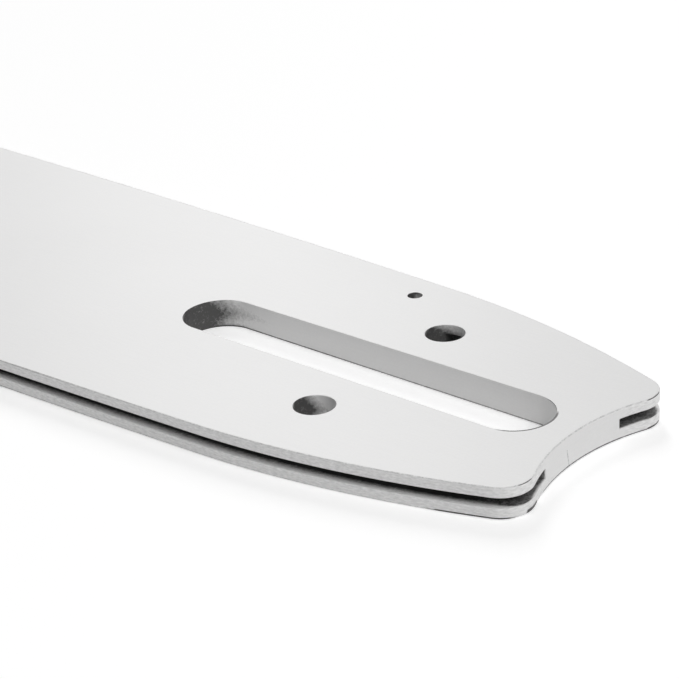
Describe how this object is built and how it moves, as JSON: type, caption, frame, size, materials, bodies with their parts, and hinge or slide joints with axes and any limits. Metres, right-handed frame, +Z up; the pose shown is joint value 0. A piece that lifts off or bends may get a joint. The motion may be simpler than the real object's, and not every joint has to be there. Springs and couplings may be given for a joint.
{
  "type": "chainsaw guide bar",
  "caption": "Flat laminated chainsaw guide bar with a chain groove round its edge, a slotted tail with adjuster and oil holes, and a sprocket nose.",
  "frame": {"origin": "middle of the mounting slot, on the lower face", "axes": "+X along the slot from the tail to the nose, +Z up through the thickness, as the bar lies flat"},
  "size_m": [0.4076, 0.0512, 0.0033],
  "materials": {
    "bar_coating": "matte pale silver-grey coat over steel sheet",
    "sprocket_steel": "hardened steel, satin, oil-darkened",
    "bearing_steel": "ground bearing steel",
    "cage_polymer": "moulded dark polymer",
    "rivet_steel": "ground flush"
  },
  "bodies": {
    "bar": {"upper_side_plate": "bar_coating", "lower_side_plate": "bar_coating", "core_plate": "bar_coating", "bearing_race": "bearing_steel", "nose_rivets": "rivet_steel"},
    "nose_sprocket": {"nose_sprocket": "sprocket_steel"},
    "roller_cage": {"roller_cage": "cage_polymer"},
    "roller_01": {"roller_01": "bearing_steel"},
    "roller_02": {"roller_02": "bearing_steel"},
    "roller_03": {"roller_03": "bearing_steel"},
    "roller_04": {"roller_04": "bearing_steel"},
    "roller_05": {"roller_05": "bearing_steel"},
    "roller_06": {"roller_06": "bearing_steel"},
    "roller_07": {"roller_07": "bearing_steel"},
    "roller_08": {"roller_08": "bearing_steel"},
    "roller_09": {"roller_09": "bearing_steel"},
    "roller_10": {"roller_10": "bearing_steel"},
    "roller_11": {"roller_11": "bearing_steel"},
    "roller_12": {"roller_12": "bearing_steel"},
    "roller_13": {"roller_13": "bearing_steel"},
    "roller_14": {"roller_14": "bearing_steel"}
  },
  "joints": [
    {"name": "sprocket_spin", "type": "hinge", "parent": "bar", "child": "nose_sprocket", "pos_m": [0.3603, 0, 0], "axis": [0, 0, 1], "continuous": true},
    {"name": "cage_orbit", "type": "hinge", "parent": "bar", "child": "roller_cage", "pos_m": [0.3603, 0, 0], "axis": [0, 0, 1], "continuous": true},
    {"name": "roller_01_spin", "type": "hinge", "parent": "roller_cage", "child": "roller_01", "pos_m": [0.36738, 0, 0], "axis": [0, 0, 1], "continuous": true},
    {"name": "roller_02_spin", "type": "hinge", "parent": "roller_cage", "child": "roller_02", "pos_m": [0.36668, 0.00307, 0], "axis": [0, 0, 1], "continuous": true},
    {"name": "roller_03_spin", "type": "hinge", "parent": "roller_cage", "child": "roller_03", "pos_m": [0.36471, 0.00554, 0], "axis": [0, 0, 1], "continuous": true},
    {"name": "roller_04_spin", "type": "hinge", "parent": "roller_cage", "child": "roller_04", "pos_m": [0.36188, 0.0069, 0], "axis": [0, 0, 1], "continuous": true},
    {"name": "roller_05_spin", "type": "hinge", "parent": "roller_cage", "child": "roller_05", "pos_m": [0.35872, 0.0069, 0], "axis": [0, 0, 1], "continuous": true},
    {"name": "roller_06_spin", "type": "hinge", "parent": "roller_cage", "child": "roller_06", "pos_m": [0.35589, 0.00554, 0], "axis": [0, 0, 1], "continuous": true},
    {"name": "roller_07_spin", "type": "hinge", "parent": "roller_cage", "child": "roller_07", "pos_m": [0.35392, 0.00307, 0], "axis": [0, 0, 1], "continuous": true},
    {"name": "roller_08_spin", "type": "hinge", "parent": "roller_cage", "child": "roller_08", "pos_m": [0.35322, 0, 0], "axis": [0, 0, 1], "continuous": true},
    {"name": "roller_09_spin", "type": "hinge", "parent": "roller_cage", "child": "roller_09", "pos_m": [0.35392, -0.00307, 0], "axis": [0, 0, 1], "continuous": true},
    {"name": "roller_10_spin", "type": "hinge", "parent": "roller_cage", "child": "roller_10", "pos_m": [0.35589, -0.00554, 0], "axis": [0, 0, 1], "continuous": true},
    {"name": "roller_11_spin", "type": "hinge", "parent": "roller_cage", "child": "roller_11", "pos_m": [0.35872, -0.0069, 0], "axis": [0, 0, 1], "continuous": true},
    {"name": "roller_12_spin", "type": "hinge", "parent": "roller_cage", "child": "roller_12", "pos_m": [0.36188, -0.0069, 0], "axis": [0, 0, 1], "continuous": true},
    {"name": "roller_13_spin", "type": "hinge", "parent": "roller_cage", "child": "roller_13", "pos_m": [0.36471, -0.00554, 0], "axis": [0, 0, 1], "continuous": true},
    {"name": "roller_14_spin", "type": "hinge", "parent": "roller_cage", "child": "roller_14", "pos_m": [0.36668, -0.00307, 0], "axis": [0, 0, 1], "continuous": true}
  ],
  "couplings": [
    {"joint": "cage_orbit", "follows": "sprocket_spin", "ratio": 0.56028},
    {"joint": "roller_01_spin", "follows": "sprocket_spin", "ratio": 4.0868},
    {"joint": "roller_02_spin", "follows": "sprocket_spin", "ratio": 4.0868},
    {"joint": "roller_03_spin", "follows": "sprocket_spin", "ratio": 4.0868},
    {"joint": "roller_04_spin", "follows": "sprocket_spin", "ratio": 4.0868},
    {"joint": "roller_05_spin", "follows": "sprocket_spin", "ratio": 4.0868},
    {"joint": "roller_06_spin", "follows": "sprocket_spin", "ratio": 4.0868},
    {"joint": "roller_07_spin", "follows": "sprocket_spin", "ratio": 4.0868},
    {"joint": "roller_08_spin", "follows": "sprocket_spin", "ratio": 4.0868},
    {"joint": "roller_09_spin", "follows": "sprocket_spin", "ratio": 4.0868},
    {"joint": "roller_10_spin", "follows": "sprocket_spin", "ratio": 4.0868},
    {"joint": "roller_11_spin", "follows": "sprocket_spin", "ratio": 4.0868},
    {"joint": "roller_12_spin", "follows": "sprocket_spin", "ratio": 4.0868},
    {"joint": "roller_13_spin", "follows": "sprocket_spin", "ratio": 4.0868},
    {"joint": "roller_14_spin", "follows": "sprocket_spin", "ratio": 4.0868}
  ]
}
